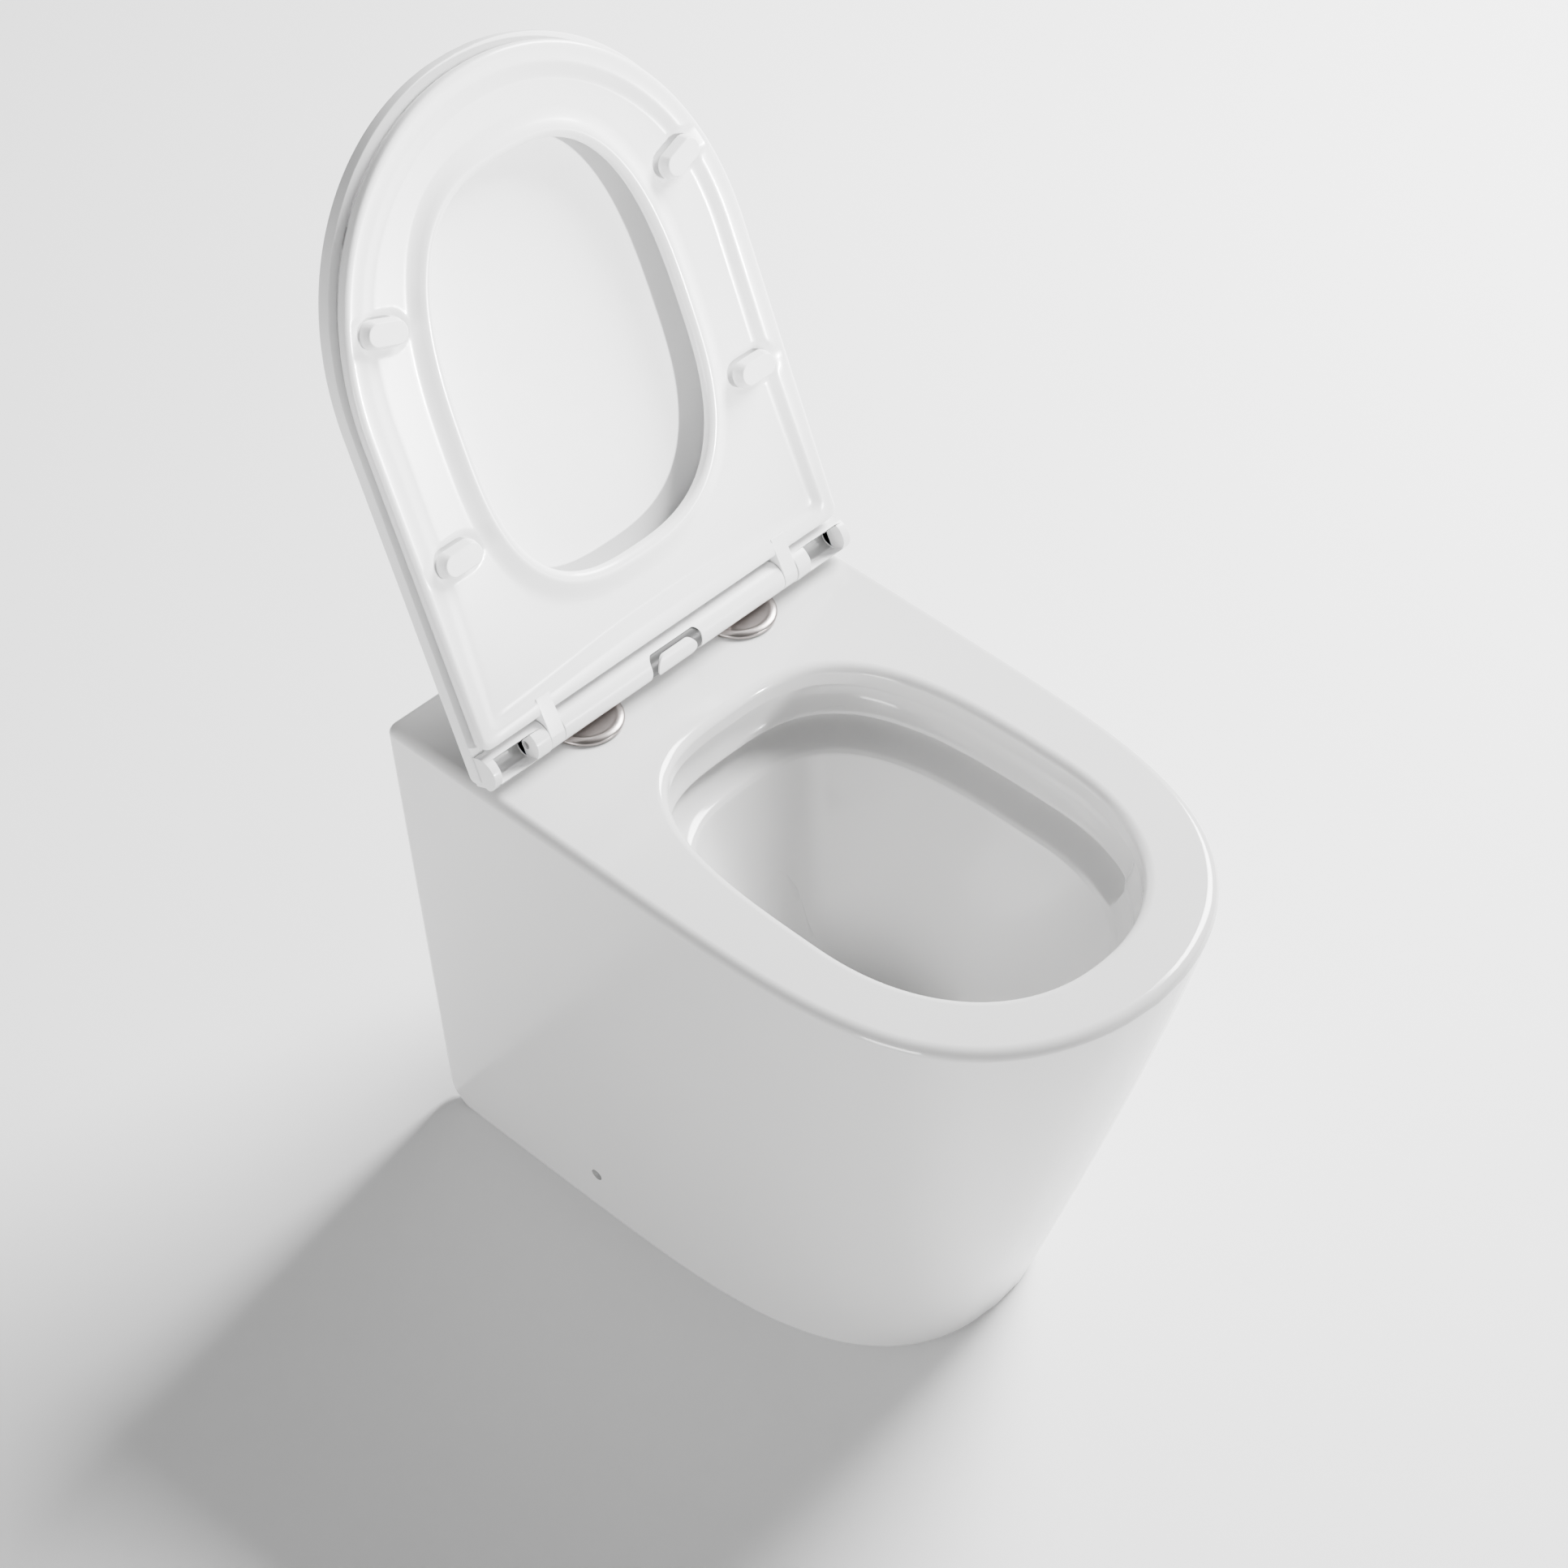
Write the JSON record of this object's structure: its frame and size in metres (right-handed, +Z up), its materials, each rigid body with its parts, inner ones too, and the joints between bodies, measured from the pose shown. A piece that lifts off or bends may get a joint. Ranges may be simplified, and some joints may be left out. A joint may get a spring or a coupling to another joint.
{
  "type": "back-to-wall toilet pan with soft-close seat",
  "caption": "Floor-standing back-to-wall rimless toilet pan with a slim soft-close seat and lid, both raised.",
  "frame": {"origin": "on the floor, under the middle of the object's box with seat and lid raised", "axes": "+Z up, -Y is the front of the pan, +X to the right seen from the front, +Y towards the wall"},
  "size_m": [0.36, 0.657, 0.8467],
  "materials": {
    "china": "gloss",
    "seat_plastic": "gloss",
    "hinge_steel": "satin",
    "spring_steel": "satin",
    "grey_plastic": "matte",
    "buffer": "satin",
    "gasket": "matte",
    "rubber": "matte",
    "brass": "satin"
  },
  "bodies": {
    "pan_body": {"pan": "china", "inlet_seal": "rubber", "gasket_l": "gasket", "gasket_r": "gasket", "rosette_l": "hinge_steel", "rosette_r": "hinge_steel", "stud_l": "hinge_steel", "stud_r": "hinge_steel", "screw_l": "hinge_steel", "screw_r": "hinge_steel", "sleeve_l": "rubber", "sleeve_r": "rubber", "nut_l": "brass", "nut_r": "brass", "hinge_bar": "seat_plastic", "damper_l": "grey_plastic", "damper_r": "grey_plastic", "release_frame": "grey_plastic", "button_spring": "spring_steel"},
    "seat_body": {"seat": "seat_plastic", "seat_pin": "spring_steel", "buffer_fl": "buffer", "buffer_fr": "buffer", "buffer_rl": "buffer", "buffer_rr": "buffer"},
    "lid_body": {"lid": "seat_plastic", "lid_pin": "spring_steel", "lid_buffer_l": "buffer", "lid_buffer_r": "buffer"},
    "button_body": {"release_button": "seat_plastic"},
    "latch_l_body": {"latch_l": "spring_steel"},
    "latch_r_body": {"latch_r": "spring_steel"}
  },
  "joints": [
    {"name": "lid_hinge", "type": "hinge", "parent": "pan_body", "child": "lid_body", "pos_m": [0, 0.1251, 0.438], "axis": [1, 0, 0], "range_deg": [0, 114.8]},
    {"name": "seat_hinge", "type": "hinge", "parent": "pan_body", "child": "seat_body", "pos_m": [0, 0.1251, 0.438], "axis": [1, 0, 0], "range_deg": [0, 114.8]},
    {"name": "button_press", "type": "slide", "parent": "pan_body", "child": "button_body", "axis": [0, 1, 0], "range_m": [0, 0.003], "stiffness_N_per_m": 500, "springref_m": -0.003},
    {"name": "latch_l_slide", "type": "slide", "parent": "pan_body", "child": "latch_l_body", "axis": [1, 0, 0], "range_m": [0, 0.003]},
    {"name": "latch_r_slide", "type": "slide", "parent": "pan_body", "child": "latch_r_body", "axis": [-1, 0, 0], "range_m": [0, 0.003]}
  ],
  "couplings": [
    {"joint": "seat_hinge", "follows": "lid_hinge", "ratio": 1},
    {"joint": "latch_l_slide", "follows": "button_press", "ratio": 1},
    {"joint": "latch_r_slide", "follows": "button_press", "ratio": 1}
  ]
}
